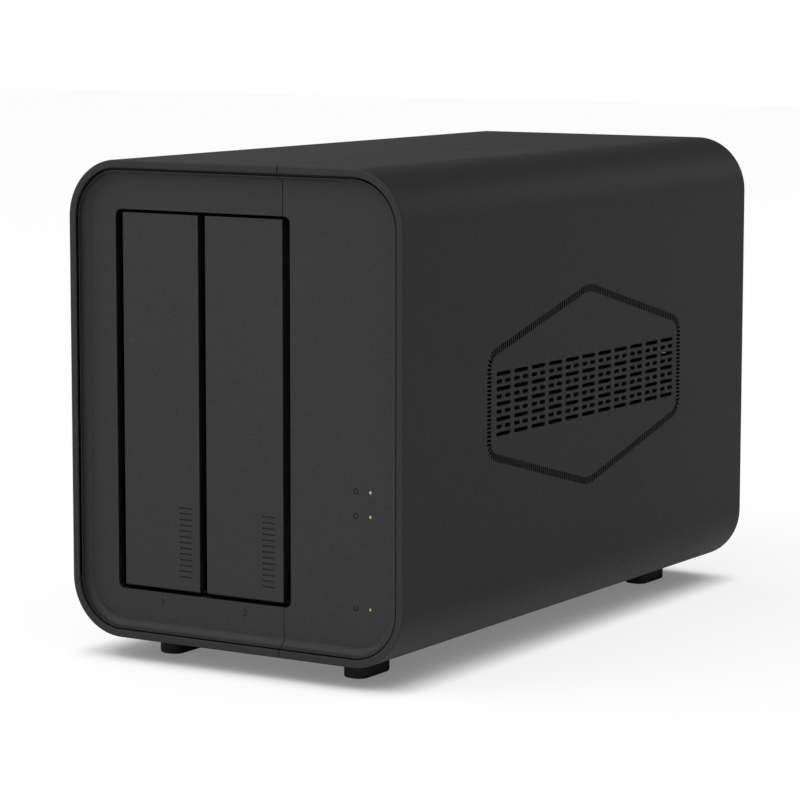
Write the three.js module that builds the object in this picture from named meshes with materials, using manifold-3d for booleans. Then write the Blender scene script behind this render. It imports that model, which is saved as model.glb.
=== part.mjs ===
// Two-bay network attached storage box: a rounded plastic sleeve in two halves, two inset
// front bezels, two pull-out drive trays with hinged levers, a steel drive cage, a backplane,
// a main board with rear ports, and an 80 mm exhaust fan behind a hexagonal mesh.
// Frame: +Z up, front faces -Y, left is -X, origin on the desk under the centre of the body.
// Millimetres.
import * as THREE from "three";
import { mergeVertices } from "three/addons/utils/BufferGeometryUtils.js";
import Module from "manifold-3d";

const wasm = await Module();
wasm.setup();

// ---------- driving dimensions ----------
// A span is a pair [from, to] along one axis.
const WIDTH = 119;
const DEPTH = 222;
const HEIGHT = 145.5; // body without feet
const BOTTOM = 6.5; // underside of the body, which is the height of the feet
const TOP = BOTTOM + HEIGHT;
const MID_Z = BOTTOM + HEIGHT / 2;
const FRONT = -DEPTH / 2;
const REAR = DEPTH / 2;
const CORNER_R = 17.7; // outer corner radius of the sleeve
const WALL = 2.4; // sleeve wall
const SEAM = { x: 16.4, gap: 0.3 }; // where the two halves meet
const RECESS = 3; // front and rear panels sit this far inside the rim
const PANEL = 2.5; // panel thickness
const FACE = FRONT + RECESS; // plane of the bezel and tray faces
const REAR_FACE = REAR - RECESS;
const REAR_PANEL_Y = [REAR_FACE - PANEL, REAR_FACE];

const FOOT = { x: 33.6, y: 89.4 }; // foot centres, either side of the origin
const BOSS = { x: 50, z: [16, TOP - 9.5] }; // screw bosses for the rear panel
const BAY = { x: [-44.2, 18.9], z: [BOTTOM + 14.8, BOTTOM + 130.65] }; // tray opening
const TRAY_X = [-27.75, 2.4]; // tray centre lines
const HINGE = { y: FACE + 3, z: 26 }; // lever hinge line
const FAN = { x: -16, z: MID_Z, size: 80, y: [80, 105], pitch: 71.5 };
const CAGE = { x: [-43.4, 18.0], front: -100, rear: 62, z: [20.8, 137.7], sheet: 1 };
const STANDOFFS = [[-50, 30], [-50, 128], [50, 30], [50, 128]]; // y, z
const FRONT_STANDOFFS = STANDOFFS.slice(0, 2);
const DIVIDER = { x: [-13.2, -12.2], tabY: [-80, 0, 50] };
const BACKPLANE = { y: [64, 65.6], tabX: [-30, 5] };
const BOARD = { x: [28, 29.6] }; // main board, components on its +X face
const LED = { x: 46.5, z: [BOTTOM + 51.7, BOTTOM + 44.5, BOTTOM + 17.2], holeR: 0.65 };
const INDICATOR_POSTS = [[41, BOTTOM + 31.5], [52, BOTTOM + 31.5]]; // x, z
const HEAD_GAP = 0.03; // clearance under screw heads

// 3.5-inch drive standing on its long edge, in the frame of its tray
const DRIVE = { left: -12.5, y: [55 - 147, 55], z: [28.5, 28.5 + 101.6] };
const DRIVE_HOLE_X = DRIVE.left + 6.35;
const DRIVE_HOLE_Y = [26.5, -75.1];

const SIDES = [-1, 1];
const BOSSES = BOSS.z.flatMap((z) => SIDES.map((side) => [side * BOSS.x, z]));
const FAN_CORNERS = SIDES.flatMap((up) =>
  SIDES.map((side) => [FAN.x + (side * FAN.pitch) / 2, FAN.z + (up * FAN.pitch) / 2]));

// ---------- geometry helpers ----------
const around = (centre, half) => [centre - half, centre + half];
const grow = ([from, to], by) => [from - by, to + by];
const middle = ([from, to]) => (from + to) / 2;
const length = ([from, to]) => to - from;

// Welds a three.js geometry and turns it into a manifold solid.
function solid(geometry) {
  let welded = geometry.index ? geometry.toNonIndexed() : geometry.clone();
  welded.deleteAttribute("normal");
  welded.deleteAttribute("uv");
  welded = mergeVertices(welded, 1e-4);
  return new wasm.Manifold(new wasm.Mesh({
    numProp: 3,
    vertProperties: welded.getAttribute("position").array,
    triVerts: new Uint32Array(welded.index.array),
  }));
}
const join = (list) => wasm.Manifold.union(list);
const cut = (from, list) => from.subtract(join(list));
const mirrorUp = (shape) => shape.mirror([0, 0, 1]).translate([0, 0, 2 * MID_Z]);

function box(x, y, z) {
  const block = new THREE.BoxGeometry(length(x), length(y), length(z));
  return solid(block.translate(middle(x), middle(y), middle(z)));
}

// Round bars along each axis: two centre coordinates, radius, span, number of sides.
const barGeometry = (r, span, sides) => new THREE.CylinderGeometry(r, r, length(span), sides);
function rodX(y, z, r, span, sides) {
  return solid(barGeometry(r, span, sides).rotateZ(-Math.PI / 2).translate(middle(span), y, z));
}
function rodY(x, z, r, span, sides) {
  return solid(barGeometry(r, span, sides).translate(x, middle(span), z));
}
function rodZ(x, y, r, span, sides) {
  return solid(barGeometry(r, span, sides).rotateX(Math.PI / 2).translate(x, y, middle(span)));
}

// Prisms: an outline in the other two axes, extruded over a span.
function extrude(outline, depth, curveSegments) {
  return new THREE.ExtrudeGeometry(outline, { depth, bevelEnabled: false, curveSegments });
}
function prismX(outline, span, segments = 1) {
  const prism = extrude(outline, length(span), segments);
  prism.rotateX(Math.PI / 2).rotateZ(Math.PI / 2); // (a, b, c) -> (c, a, b)
  return solid(prism.translate(span[0], 0, 0));
}
function prismY(outline, span, segments = 3) {
  const prism = extrude(outline, length(span), segments);
  return solid(prism.rotateX(Math.PI / 2).translate(0, span[1], 0));
}
function prismZ(outline, span, segments = 2) {
  return solid(extrude(outline, length(span), segments).translate(0, 0, span[0]));
}

function roundRect([x0, x1], [y0, y1], r) {
  const s = new THREE.Shape();
  s.moveTo(x0 + r, y0);
  s.lineTo(x1 - r, y0);
  s.absarc(x1 - r, y0 + r, r, -Math.PI / 2, 0, false);
  s.lineTo(x1, y1 - r);
  s.absarc(x1 - r, y1 - r, r, 0, Math.PI / 2, false);
  s.lineTo(x0 + r, y1);
  s.absarc(x0 + r, y1 - r, r, Math.PI / 2, Math.PI, false);
  s.lineTo(x0, y0 + r);
  s.absarc(x0 + r, y0 + r, r, Math.PI, 1.5 * Math.PI, false);
  return s;
}
const polygon = (points) => new THREE.Shape(points.map(([a, b]) => new THREE.Vector2(a, b)));
// Front outline of the body, in (x, z), moved inwards by inset.
function bodyOutline(inset) {
  const x = [-WIDTH / 2 + inset, WIDTH / 2 - inset];
  return roundRect(x, [BOTTOM + inset, TOP - inset], CORNER_R - inset);
}
// The part of a shape on one side of the seam: -1 left, 1 right.
function halfOf(shape, side) {
  const edge = SEAM.x + (side * SEAM.gap) / 2;
  const x = side < 0 ? [-WIDTH, edge] : [edge, WIDTH];
  return shape.intersect(box(x, [-DEPTH, DEPTH], [-10, 200]));
}

// ---------- materials and scene ----------
const material = (settings) => new THREE.MeshStandardMaterial(settings);
const materials = {
  shell: material({ color: 0x3c3c3d, roughness: 0.62, metalness: 0 }),
  bezel: material({ color: 0x3e3e3f, roughness: 0.6, metalness: 0 }),
  dark: material({ color: 0x161617, roughness: 0.55, metalness: 0 }),
  rubber: material({ color: 0x1a1a1a, roughness: 0.85, metalness: 0 }),
  cage: material({ color: 0x1d1e20, roughness: 0.5, metalness: 0.3 }),
  steel: material({ color: 0xa9abad, roughness: 0.35, metalness: 1 }),
  aluminium: material({ color: 0xb4b7ba, roughness: 0.4, metalness: 1 }),
  board: material({ color: 0x12402c, roughness: 0.45, metalness: 0 }),
  clear: material({ color: 0x8fce32, roughness: 0.3, metalness: 0 }),
  screw: material({ color: 0x2a2a2c, roughness: 0.35, metalness: 0.9 }),
};

const model = new THREE.Group();
function geometryOf(shape) {
  const { vertProperties, triVerts } = shape.getMesh();
  const geometry = new THREE.BufferGeometry();
  geometry.setAttribute("position", new THREE.BufferAttribute(new Float32Array(vertProperties), 3));
  geometry.setIndex(new THREE.BufferAttribute(new Uint32Array(triVerts), 1));
  geometry.computeVertexNormals();
  return geometry;
}
function place(name, geometry, materialName, at, parent = model) {
  const mesh = new THREE.Mesh(geometry, materials[materialName]);
  mesh.name = name;
  mesh.position.set(...at);
  parent.add(mesh);
}
function add(name, shape, materialName, parent = model) {
  place(name, geometryOf(shape), materialName, [0, 0, 0], parent);
}

// ---------- sleeve halves ----------
// A hexagonal ring of slots round a block of short louvres, all through the side wall.
function sideVent(side) {
  const x = side > 0
    ? [WIDTH / 2 - WALL - 1, WIDTH / 2 + 1]
    : [-WIDTH / 2 - 1, -WIDTH / 2 + WALL + 1];
  const corners = [[62, 15], [0, 31], [-62, 15], [-62, -15], [0, -31], [62, -15]]; // y, z
  const cornerGap = 2;
  const slotGap = 2.4;
  const slotHeight = 2.3;
  const cuts = [];
  corners.forEach((start, i) => {
    const end = corners[(i + 1) % 6];
    const dy = end[0] - start[0];
    const dz = end[1] - start[1];
    const edge = Math.hypot(dy, dz);
    const count = edge > 40 ? 4 : 2;
    const pitch = (edge - 2 * cornerGap) / count;
    for (let k = 0; k < count; k++) {
      const along = cornerGap + pitch * (k + 0.5);
      const y = start[0] + (dy / edge) * along;
      const z = start[1] + (dz / edge) * along;
      const slot = new THREE.BoxGeometry(length(x), pitch - slotGap, slotHeight);
      slot.rotateX(Math.atan2(dz, dy)).translate(middle(x), y, MID_Z + z);
      cuts.push(solid(slot));
    }
  });
  const louvre = { pitchY: 19.7, pitchZ: 7, halfLength: 8, halfHeight: 2.2 };
  for (let column = 0; column < 6; column++)
    for (let row = 0; row < 3; row++) {
      const y = around(louvre.pitchY * (column - 2.5), louvre.halfLength);
      const z = around(MID_Z + louvre.pitchZ * (row - 1), louvre.halfHeight);
      cuts.push(box(x, y, z));
    }
  return cuts;
}

// Lap tongues on the left half that close the seam from inside.
function seamTongues() {
  const y = [FRONT + 8, REAR - 6];
  const flush = [11, SEAM.x - SEAM.gap / 2 - 0.05];
  const overlap = [11, SEAM.x + 3.5];
  return [
    box(flush, y, [TOP - 3.5, TOP - 2.2]),
    box(overlap, y, [TOP - 3.5, TOP - 2.7]),
    box(flush, y, [BOTTOM + 2.2, BOTTOM + 3.5]),
    box(overlap, y, [BOTTOM + 2.7, BOTTOM + 3.5]),
  ];
}

function sleeveHalf(side) {
  const tube = prismY(bodyOutline(0), [FRONT, REAR], 5)
    .subtract(prismY(bodyOutline(WALL), [FRONT - 1, REAR + 1], 5));
  // ledge that the front bezel rests on
  const ledge = prismY(bodyOutline(WALL - 0.3), [FRONT + 5.8, FRONT + 7.3], 5)
    .subtract(prismY(bodyOutline(5), [FRONT + 5, FRONT + 8], 5));
  const parts = [halfOf(tube.add(ledge), side)];
  const holes = sideVent(side);
  for (const z of BOSS.z) {
    parts.push(rodY(side * BOSS.x, z, 4, [80, 105.3], 10));
    holes.push(rodY(side * BOSS.x, z, 1.75, [88, 106], 8));
  }
  if (side < 0) parts.push(...seamTongues());
  for (const y of [-FOOT.y, FOOT.y])
    holes.push(rodZ(side * FOOT.x, y, 2.4, [BOTTOM - 1, BOTTOM + WALL + 1], 8));
  return cut(join(parts), holes);
}
add("left_shell", sleeveHalf(-1), "shell");
add("right_shell", sleeveHalf(1), "shell");

// ---------- front bezels ----------
const BEZEL_BACK = FACE + PANEL;

// A dished plate with the tray opening: flat face at FACE, concave edge rising to the rim.
function dishedPlate() {
  const groove = 0.9; // shadow groove between rim and bezel
  const cove = 2.6; // depth of the concave edge
  const plate = prismY(bodyOutline(WALL + groove), [FRONT + 0.5, BEZEL_BACK], 4);
  const plugY = [FRONT - 6, FACE];
  const plug = new THREE.ExtrudeGeometry(bodyOutline(WALL + groove + 0.4), {
    depth: length(plugY) - 2 * cove,
    bevelEnabled: true,
    bevelThickness: cove,
    bevelSize: cove - 0.3,
    bevelOffset: 0.3 - cove,
    bevelSegments: 3,
    curveSegments: 4,
  });
  plug.translate(0, 0, cove).rotateX(Math.PI / 2).translate(0, plugY[1], 0);
  const opening = prismY(roundRect(BAY.x, BAY.z, 2), [FRONT - 2, BEZEL_BACK + 4], 2);
  return plate.subtract(solid(plug)).subtract(opening);
}

function indicatorBezel(plate) {
  const pins = INDICATOR_POSTS.flatMap(([x, z]) => [
    rodY(x, z, 2, [BEZEL_BACK - 0.3, -98.75], 10),
    rodY(x, z, 1, [-99, -96.2], 8),
  ]);
  const holes = LED.z.map((z) => rodY(LED.x, z, LED.holeR, [FRONT, -100], 10));
  return cut(join([halfOf(plate, 1), ...pins]), holes);
}
const frontPlate = dishedPlate();
add("bay_bezel", halfOf(frontPlate, -1), "bezel");
add("indicator_bezel", indicatorBezel(frontPlate), "bezel");

// ---------- indicators ----------
const ledRange = (margin) => [LED.z[2] - margin, LED.z[0] + margin];

// One clear moulding with three prongs that end flush with the bezel face.
function lightGuide() {
  const prongs = LED.z.map((z) => rodY(LED.x, z, 0.5, [FACE, -101], 8));
  return join([box(around(LED.x, 1.5), [-101.5, -99.6], ledRange(3)), ...prongs]);
}
function indicatorBoard() {
  const parts = [
    box([38.5, 54.5], [-98.6, -97], ledRange(6)),
    box([47.5, 53.5], [-97.1, -92.5], [48, 56]), // connector
  ];
  for (const z of LED.z)
    parts.push(box(around(LED.x, 0.8), [-99.4, -98.5], around(z, 0.6)));
  return cut(join(parts), INDICATOR_POSTS.map(([x, z]) => rodY(x, z, 1.3, [-100, -96], 10)));
}
add("light_guide", lightGuide(), "clear");
add("indicator_board", indicatorBoard(), "board");

// ---------- feet ----------
function foot() {
  const pad = (halfX, halfY, r) => roundRect([-halfX, halfX], [-halfY, halfY], r);
  const plugTop = BOTTOM + WALL + 1.6;
  return join([
    prismZ(pad(4, 8.6, 3.2), [0, 5.4]),
    prismZ(pad(5.2, 9.8, 4.2), [5.1, BOTTOM - 0.05]),
    rodZ(0, 0, 2, [6, plugTop], 8),
    rodZ(0, 0, 2.9, [BOTTOM + WALL + 0.35, plugTop], 8),
  ]);
}
const footGeometry = geometryOf(foot());
for (const [end, y] of [["front", -FOOT.y], ["rear", FOOT.y]])
  for (const [side, x] of [["left", -FOOT.x], ["right", FOOT.x]])
    place(`foot_${end}_${side}`, footGeometry, "rubber", [x, y, 0]);

// ---------- rear panel with fan mesh and port cut-outs ----------
const PORT_END = REAR_FACE + 0.2;
const PORT_X = BOARD.x[1] + 0.05;
const port = (width, y0, z) => ({ x: [PORT_X, PORT_X + width], y: [y0, PORT_END], z });
const PORTS = {
  usb_upper: port(7.2, 90.5, [104.8, 119.2]),
  usb_lower: port(7.2, 90.5, [85.8, 100.2]),
  lan: port(13.5, 87, [60.9, 77.1]),
  dc: port(11, 93.5, [32.3, 41.7]),
};
const POWER = { x: 36.5, z: 130 };
const RESET = { x: 35, z: 51.5 };

function fanMesh(through) {
  const pitch = 11.4;
  const acrossFlats = 9.6;
  const reach = 34.8; // hole centres lie within this radius
  const cornerR = acrossFlats / 2 / Math.cos(Math.PI / 6);
  const hexagon = (x, z) => polygon([0, 1, 2, 3, 4, 5].map((k) => {
    const angle = Math.PI / 6 + (k * Math.PI) / 3;
    return [x + cornerR * Math.cos(angle), z + cornerR * Math.sin(angle)];
  }));
  const holes = [];
  for (let row = -4; row <= 4; row++)
    for (let column = -4; column <= 4; column++) {
      const x = pitch * (column + (row & 1 ? 0.5 : 0));
      const z = pitch * Math.sqrt(0.75) * row;
      if (Math.hypot(x, z) < reach)
        holes.push(prismY(hexagon(FAN.x + x, FAN.z + z), through));
    }
  return holes;
}
function rearPanel() {
  const through = grow(REAR_PANEL_Y, 1);
  const holes = [
    ...fanMesh(through),
    ...Object.values(PORTS).map(({ x, z }) => box(grow(x, 0.4), through, grow(z, 0.4))),
    rodY(POWER.x, POWER.z, 4.8, through, 20),
    rodY(RESET.x, RESET.z, 1.1, through, 8),
    ...BOSSES.map(([x, z]) => rodY(x, z, 1.8, through, 8)),
    ...FAN_CORNERS.map(([x, z]) => rodY(x, z, 2.2, through, 8)),
  ];
  return cut(prismY(bodyOutline(WALL + 0.35), REAR_PANEL_Y, 4), holes);
}
add("rear_panel", rearPanel(), "bezel");

// ---------- rear screws ----------
// Origin under the head; head towards +Y, shank along -Y.
function screw({ shankR, shank, headR, head }) {
  const profile = [ // radius, y
    [0, -shank], [shankR, -shank + 0.8], [shankR, 0],
    [headR, 0], [headR * 0.85, head], [0, head],
  ];
  const points = profile.map(([r, y]) => new THREE.Vector2(r, y));
  return geometryOf(solid(new THREE.LatheGeometry(points, 8)));
}
function rearScrews(prefix, geometry, places) {
  places.forEach(([x, z], i) =>
    place(`${prefix}_${i + 1}`, geometry, "screw", [x, REAR_FACE + HEAD_GAP, z]));
}
rearScrews("rear_screw", screw({ shankR: 1.4, shank: 15, headR: 2.8, head: 1.9 }), BOSSES);
rearScrews("fan_screw", screw({ shankR: 1.9, shank: 11, headR: 3.3, head: 1.9 }), FAN_CORNERS);

// ---------- drive cage ----------
const CAGE_FLOOR_CUT = [CAGE.z[0] - 1, CAGE.z[0] + 2];
const CAGE_ROOF_CUT = [CAGE.z[1] - 2, CAGE.z[1] + 1];

function driveCage() {
  const { x: [x0, x1], z: [z0, z1], sheet } = CAGE;
  const wallY = [CAGE.front, CAGE.rear];
  const plateX = [x0 + 0.2, x1 - 0.2];
  const plateY = [CAGE.front, 68];
  const walls = [
    box([x0, x0 + sheet], wallY, [BOTTOM + 3.2, TOP - 3.2]),
    box([x1 - sheet, x1], wallY, [BOTTOM + 3.8, TOP - 3.8]),
    box(plateX, plateY, [z0, z0 + sheet]),
    box(plateX, plateY, [z1 - sheet, z1]),
    // folded feet along the lower edges
    box([x0 + 0.2, x0 + 5.4], wallY, [BOTTOM + 3.2, BOTTOM + 4.2]),
    box([x1 - 8, x1 - 0.2], wallY, [BOTTOM + 3.8, BOTTOM + 4.8]),
    ...STANDOFFS.map(([y, z]) => rodX(y, z, 2.9, [x1 - 0.3, BOARD.x[0] - 0.05], 6)),
  ];
  const holes = FRONT_STANDOFFS.map(([y, z]) => rodX(y, z, 1.7, [x1 + 1, BOARD.x[0] + 1], 10));
  for (const y of [-70, -20, 30]) // air windows in the side walls
    for (const z of [[40, 76], [84, 120]])
      holes.push(prismX(roundRect(around(y, 18), z, 6), [x0 - 1, x1 + 20]));
  for (const z of [CAGE_FLOOR_CUT, CAGE_ROOF_CUT]) { // slots for backplane and divider tabs
    for (const x of BACKPLANE.tabX) holes.push(box(around(x, 3.4), [63.6, 66], z));
    for (const y of DIVIDER.tabY) holes.push(box([-13.6, -11.8], around(y, 4.4), z));
  }
  return cut(join(walls), holes);
}
function bayDivider() {
  const { z: [z0, z1], sheet } = CAGE;
  const parts = [box(DIVIDER.x, [CAGE.front, 58], [z0 + sheet + 0.3, z1 - sheet - 0.3])];
  for (const y of DIVIDER.tabY)
    for (const z of [[z0 - 0.2, z0 + 2], [z1 - 2, z1 + 0.2]])
      parts.push(box(DIVIDER.x, around(y, 4), z));
  const windows = [-62, -10, 40].map((y) =>
    prismX(roundRect(around(y, 20), [46, 112], 6), [-20, -5]));
  return cut(join(parts), windows);
}
// Lower plastic guide that the tray clips run in.
function bayGuide() {
  const base = CAGE.z[0] + CAGE.sheet + 0.05;
  const y = [-95, 52];
  const ribZ = [base, 25.4];
  const parts = TRAY_X.flatMap((x) => [
    box(around(x, 12.6), y, [base, base + 0.85]),
    box([x - 11.2, x - 9.6], y, ribZ),
    box([x + 5.6, x + 7.2], y, ribZ),
  ]);
  // narrow bridges under the divider tie the two channels into one moulding
  for (const bridgeY of [-92, 20, 41])
    parts.push(box([-16, -9], around(bridgeY, 2), [base, base + 0.2]));
  return join(parts);
}
add("drive_cage", driveCage(), "cage");
add("bay_divider", bayDivider(), "cage");
add("bay_guide_lower", bayGuide(), "dark");
add("bay_guide_upper", mirrorUp(bayGuide()), "dark");

// ---------- backplane ----------
function backplane() {
  const { y, tabX } = BACKPLANE;
  const parts = [
    box([-43, 18.6], y, [23, 135.5]),
    box([18, 25.2], y, [62, 98]), // edge that plugs into the main board
  ];
  for (const x of tabX)
    for (const z of [[20.2, 24], [135, 138.3]]) parts.push(box(around(x, 3), y, z));
  const windows = [[-38, -17], [-8, 13]].map((x) =>
    prismY(roundRect(x, [84, 129], 4), [60, 70], 1));
  return cut(join(parts), windows);
}
function sataSocket(x) {
  return box([x - 11.4, x - 5.2], [50.3, 63.95], [37, 76])
    .subtract(box([x - 9.1, x - 6.9], [49, 56.6], [39.3, 73.7]));
}
add("backplane_board", backplane(), "board");
TRAY_X.forEach((x, i) => add(`sata_socket_${i + 1}`, sataSocket(x), "dark"));

// ---------- main board and what is mounted on it ----------
function mainBoard() {
  const [back, face] = BOARD.x;
  const components = [ // height above the face, y span, z span
    [1.75, [0, 20], [72, 92]], // processor
    [1.1, [-22, -10], [74, 88]], // memory
    [1.1, [-22, -10], [92, 106]],
    [1.2, [62, 72], [62, 72]], // network controller
    [1.2, [40, 48], [110, 118]], // usb controller
    [3.2, [66, 73], [34, 41]], // power inductors
    [3.2, [54, 61], [34, 41]],
    [11, [92, 100], [124.5, 135.5]], // power switch
    [8.2, [94, 99], [48.5, 54.5]], // reset switch
    [5.6, [-55, -47], [46, 56]], // indicator header
    [1.6, [-49, -21], [100, 124]], // battery holder base
  ];
  const parts = [
    box(BOARD.x, [-58, 104.3], [22, 137]),
    ...components.map(([height, y, z]) => box([face - 0.1, face + height], y, z)),
    box([back - 5.5, back + 0.1], [38, 46], [40, 50]), // fan header
    box([back - 8, back + 0.1], [60.6, 69], [59.5, 100.5]), // backplane socket
  ];
  for (const [y, z] of [[80, 26.5], [60, 26.5], [40, 100]]) // round cans
    parts.push(rodX(y, z, 3.1, [face - 0.1, face + 8], 12));
  return cut(join(parts), [
    box([back - 9, back - 2], [63.65, 65.95], [61.4, 98.6]), // slot of the backplane socket
    ...STANDOFFS.map(([y, z]) => rodX(y, z, 1.8, grow(BOARD.x, 1), 10)),
  ]);
}
function heatsink() {
  const face = BOARD.x[1];
  const y = [-10, 30];
  const finPitch = 5.325;
  const parts = [box([face + 1.85, face + 4.6], y, [60, 104])];
  for (let k = 0; k < 9; k++)
    parts.push(box([face + 4.4, face + 16], y, [60 + finPitch * k, 61.4 + finPitch * k]));
  return join(parts);
}
// Screws into the two front standoffs, shanks along -X.
function boardScrews() {
  const geometry = screw({ shankR: 1.4, shank: 7, headR: 2.8, head: 1.7 });
  geometry.rotateZ(-Math.PI / 2);
  FRONT_STANDOFFS.forEach(([y, z], i) =>
    place(`board_screw_${i + 1}`, geometry, "screw", [BOARD.x[1] + HEAD_GAP, y, z]));
}
add("main_board", mainBoard(), "board");
// coin cell that keeps the clock, lying in its holder
add("clock_battery", rodX(-35, 112, 10, [BOARD.x[1] + 1.75, BOARD.x[1] + 4.95], 16), "steel");
add("heatsink", heatsink(), "aluminium");
boardScrews();

// ---------- ports and buttons ----------
function usbPort({ x, y, z }) {
  const mouth = box([x[0] + 1.1, x[1] - 1], [PORT_END - 11.5, PORT_END + 1], grow(z, -1));
  const tongue = box([x[0] + 1.7, x[0] + 3.5], [y[0] + 1, PORT_END - 1.4], grow(z, -1.6));
  return box(x, y, z).subtract(mouth).add(tongue);
}
function lanPort({ x, y, z }) {
  const mouthY = [PORT_END - 14, PORT_END + 1];
  const centre = middle(z);
  return cut(box(x, y, z), [
    box([x[0] + 1.9, x[1] - 3.8], mouthY, around(centre, 5.9)),
    box([x[1] - 4, x[1] - 2.2], mouthY, around(centre, 3.2)),
    box([x[1] - 2.4, x[1] - 0.9], mouthY, around(centre, 1.6)),
  ]);
}
function dcJack({ x, y, z }) {
  const axisX = middle(x) + 0.3;
  const axisZ = middle(z);
  const bore = rodY(axisX, axisZ, 3.2, [PORT_END - 10, PORT_END + 1], 16);
  const pin = rodY(axisX, axisZ, 1.05, [PORT_END - 10.5, PORT_END - 1], 10);
  return join([box(x, y, z).subtract(bore), pin]);
}
// A stack of discs along y: radius, y span, sides.
const button = ({ x, z }, discs) => join(discs.map(([r, y, sides]) => rodY(x, z, r, y, sides)));
const POWER_DISCS = [[4.4, [104, REAR_FACE + 1], 24], [5.6, [103.2, 104.7], 24], [1.6, [101.2, 104], 10]];
const RESET_DISCS = [[0.8, [102, 104.9], 10], [1.6, [100, 102.4], 10]];
add("usb_port_upper", usbPort(PORTS.usb_upper), "steel");
add("usb_port_lower", usbPort(PORTS.usb_lower), "steel");
add("lan_port", lanPort(PORTS.lan), "steel");
add("dc_jack", dcJack(PORTS.dc), "dark");
add("power_button", button(POWER, POWER_DISCS), "dark");
add("reset_button", button(RESET, RESET_DISCS), "dark");

// ---------- exhaust fan ----------
function fanFrame() {
  const { x, z, y, size } = FAN;
  const [y0, y1] = y;
  const outline = roundRect(around(x, size / 2), around(z, size / 2), 4);
  const duct = join([
    prismY(outline, [y0, y0 + 4], 1),
    prismY(outline, [y1 - 4, y1], 1),
    rodY(x, z, 39.6, y, 32),
  ]).subtract(rodY(x, z, 38, grow(y, 1), 32));
  const screwHoles = FAN_CORNERS.map(([cx, cz]) => rodY(cx, cz, 2.2, grow(y, 1), 8));
  const arms = [0, 1, 2].map((k) => {
    const arm = new THREE.BoxGeometry(24, 3, 3).translate(26.6, 0, 0);
    arm.rotateY(Math.PI / 2 + (k * 2 * Math.PI) / 3 + 0.5);
    return solid(arm.translate(x, y1 - 1.7, z));
  });
  const hub = rodY(x, z, 16, [y1 - 3.2, y1 - 0.2], 20);
  const bearing = rodY(x, z, 5, [y0 + 6, y1 - 3], 10);
  return join([cut(duct, screwHoles), ...arms, hub, bearing])
    .subtract(rodY(x, z, 1.9, [y0 + 5, y1 - 4], 8));
}
// Cup, shaft and seven tilted blades, centred on x = z = 0.
function fanRotor() {
  const y0 = FAN.y[0];
  const cup = rodY(0, 0, 16.5, [y0 + 2.5, y0 + 21], 20)
    .subtract(rodY(0, 0, 14.6, [y0 + 4.6, y0 + 22], 20));
  const parts = [cup, rodY(0, 0, 1.5, [y0 + 3, y0 + 20], 8)];
  for (let k = 0; k < 7; k++) {
    // a thin board, tilted about its own radius
    const blade = new THREE.BoxGeometry(21.2, 1.2, 17.5).rotateX(-0.66);
    blade.translate(26, y0 + 12, 0).rotateY((k * 2 * Math.PI) / 7 + 0.05);
    parts.push(solid(blade));
  }
  return join(parts);
}
add("fan_frame", fanFrame(), "dark");
place("fan_rotor", geometryOf(fanRotor()), "dark", [FAN.x, 0, FAN.z]);

// ---------- cables ----------
const CABLE_R = 1.3;
const FAN_CABLE = [[19.5, 79.4, 45], [20.5, 74, 45], [24, 60, 45.5], [25.2, 46.5, 45]];
const INDICATOR_CABLE = [
  [50.5, -92.2, 52], [50.5, -86, 52], [44, -74, 51.5], [35, -64, 51], [33, -55.4, 51],
];
function cable(points) {
  const extrudePath = new THREE.CatmullRomCurve3(points.map((p) => new THREE.Vector3(...p)));
  const section = new THREE.Shape();
  section.absarc(0, 0, CABLE_R, 0, Math.PI * 2, false);
  const options = { steps: 8, extrudePath, curveSegments: 3, bevelEnabled: false };
  return solid(new THREE.ExtrudeGeometry(section, options));
}
add("fan_cable", cable(FAN_CABLE), "dark");
add("indicator_cable", cable(INDICATOR_CABLE), "dark");

// ---------- tray parts, centred on x = 0 ----------
const hingeRod = (r, x, sides) => rodX(HINGE.y, HINGE.z, r, x, sides);

// Left side plate, lower and upper rails, front wall and hinge ears.
function trayFrame() {
  const wallY = [-98.5, -96.5];
  const bodyY = [wallY[0], 52];
  const parts = [
    box([-13.6, -12.6], bodyY, [26.1, 132.4]),
    box([-13.6, 6], bodyY, [26.1, 28.3]),
    box([-13.6, 6], bodyY, [130.2, 132.4]),
    box([-13.6, 13.6], wallY, [24, 134.5]),
  ];
  for (const x of [[-12.6, -10.6], [10.6, 12.6]]) {
    parts.push(hingeRod(1.9, x, 14));
    parts.push(box(x, [HINGE.y, wallY[0] + 0.5], around(HINGE.z, 1.9)));
  }
  const holes = [
    prismX(roundRect([-86, -34], [40, 118], 6), [-15, -12]),
    prismX(roundRect([-26, 44], [34, 124], 6), [-15, -12]),
    hingeRod(1.05, [-15, 15], 12),
    box([-3.4, 3.4], [wallY[0] - 1, -92], [125.6, 132.5]), // latch passage
    prismY(roundRect([-9, 9], [40, 112], 3), grow(wallY, 1), 1),
  ];
  for (const y of DRIVE_HOLE_Y)
    for (const z of [[20, 29], [129.5, 140]]) holes.push(rodZ(DRIVE_HOLE_X, y, 2, z, 10));
  return cut(join(parts), holes);
}
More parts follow.
